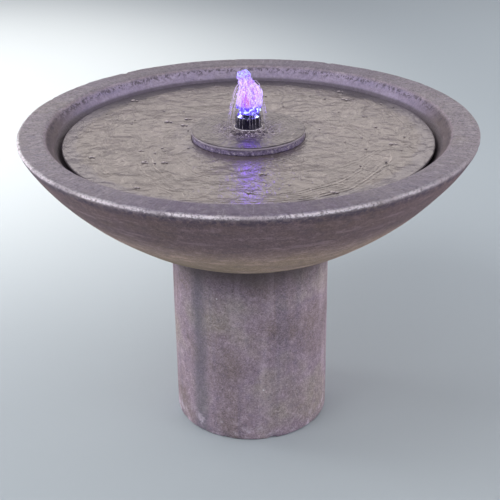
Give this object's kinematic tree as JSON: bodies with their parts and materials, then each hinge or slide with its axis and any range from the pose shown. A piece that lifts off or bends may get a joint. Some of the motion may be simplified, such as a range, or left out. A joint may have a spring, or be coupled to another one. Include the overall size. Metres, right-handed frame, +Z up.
{
  "type": "bowl fountain with submersible pump",
  "caption": "Cast-stone bowl fountain on a round pedestal, with a submersible magnetic-drive pump hidden under a lift-off cover plate, a jet nozzle and a ring light.",
  "frame": {"origin": "on the ground, at the centre of the pedestal's foot", "axes": "+Z up along the axis of the pedestal, the bowl and the jet; -Y is the front; the cord notch in the pedestal's foot and the pump's cord gland are at the back, +Y"},
  "size_m": [0.816, 0.816, 0.682],
  "materials": {
    "stone": "matt",
    "wet_stone": "wet",
    "pad_rubber": "matt",
    "pump_plastic": "satin",
    "grip_plastic": "satin",
    "soft_rubber": "matt",
    "electrical_steel": "dull",
    "bobbin_plastic": "matt",
    "coil_wire": "lacquered",
    "potting_resin": "gloss",
    "shaft_ceramic": "polished",
    "magnet": "ground",
    "impeller_plastic": "moulded",
    "stainless": "bright",
    "sponge": "open-cell foam",
    "clear_hose": "flexible clear plastic",
    "nozzle_plastic": "satin",
    "light_plastic": "satin",
    "lead_sheath": "smooth",
    "board": "white solder mask",
    "led_lens": "clear",
    "clear_resin": "clear",
    "water": "foaming water"
  },
  "bodies": {
    "root": {"pedestal": "stone", "pedestal_pad_1": "pad_rubber", "pedestal_pad_2": "pad_rubber", "pedestal_pad_3": "pad_rubber", "pedestal_pad_4": "pad_rubber", "bowl": "stone", "plate_pad_1": "pad_rubber", "plate_pad_2": "pad_rubber", "plate_pad_3": "pad_rubber", "plate_pad_4": "pad_rubber", "pump_housing": "pump_plastic", "stator_laminations": "electrical_steel", "coil_bobbin_left": "bobbin_plastic", "coil_bobbin_right": "bobbin_plastic", "stator_coil_left": "coil_wire", "stator_coil_right": "coil_wire", "pump_potting": "potting_resin", "pump_back_cover": "pump_plastic", "cord_gland": "soft_rubber", "lead_gland": "soft_rubber", "suction_cup_1": "soft_rubber", "suction_cup_2": "soft_rubber", "suction_cup_3": "soft_rubber", "suction_cup_4": "soft_rubber", "rotor_shaft": "shaft_ceramic", "shaft_bush_rear": "soft_rubber", "shaft_bush_front": "soft_rubber", "separator_ring": "bobbin_plastic", "volute_seal": "soft_rubber", "volute_cover": "pump_plastic", "volute_screw_1": "stainless", "volute_screw_2": "stainless", "volute_screw_3": "stainless", "volute_screw_4": "stainless", "riser_tube": "clear_hose", "clamp_band_lower": "stainless", "clamp_band_upper": "stainless", "clamp_screw_lower": "stainless", "clamp_screw_upper": "stainless", "nozzle_stem": "nozzle_plastic", "nozzle_tip": "nozzle_plastic", "led_sleeve": "nozzle_plastic", "led_housing": "light_plastic", "led_board": "board", "leds": "led_lens", "led_resin": "clear_resin", "led_gland": "soft_rubber", "led_lead": "lead_sheath", "lead_clip": "nozzle_plastic", "water_jet": "water"},
    "cover_plate": {"cover_plate": "wet_stone"},
    "cap_disc": {"cap_disc": "wet_stone"},
    "floor_stopper": {"floor_stopper": "pad_rubber"},
    "rotor": {"rotor_magnet": "magnet", "rotor_sleeve": "impeller_plastic"},
    "impeller": {"impeller": "impeller_plastic"},
    "intake_cover": {"intake_cover": "pump_plastic", "filter_sponge": "sponge"},
    "flow_dial": {"flow_dial": "grip_plastic"}
  },
  "joints": [
    {"name": "plate_lift", "type": "slide", "parent": "root", "child": "cover_plate", "axis": [0, 0, 1], "range_m": [0, 0.28], "deforming": ["water_jet"]},
    {"name": "cap_lift", "type": "slide", "parent": "cover_plate", "child": "cap_disc", "axis": [0, 0, 1], "range_m": [0, 0.16]},
    {"name": "stopper_lift", "type": "slide", "parent": "root", "child": "floor_stopper", "axis": [0, 0, 1], "range_m": [0, 0.045]},
    {"name": "rotor_spin", "type": "hinge", "parent": "root", "child": "rotor", "pos_m": [0, 0.03, 0.445], "axis": [0, 1, 0], "continuous": true},
    {"name": "impeller_lag", "type": "hinge", "parent": "rotor", "child": "impeller", "pos_m": [0, 0, 0.445], "axis": [0, 1, 0], "range_deg": [-135, 135]},
    {"name": "intake_slide", "type": "slide", "parent": "root", "child": "intake_cover", "axis": [0, -1, 0], "range_m": [0, 0.04]},
    {"name": "dial_turn", "type": "hinge", "parent": "intake_cover", "child": "flow_dial", "pos_m": [0, -0.028, 0.445], "axis": [0, 1, 0], "range_deg": [0, 45]}
  ]
}
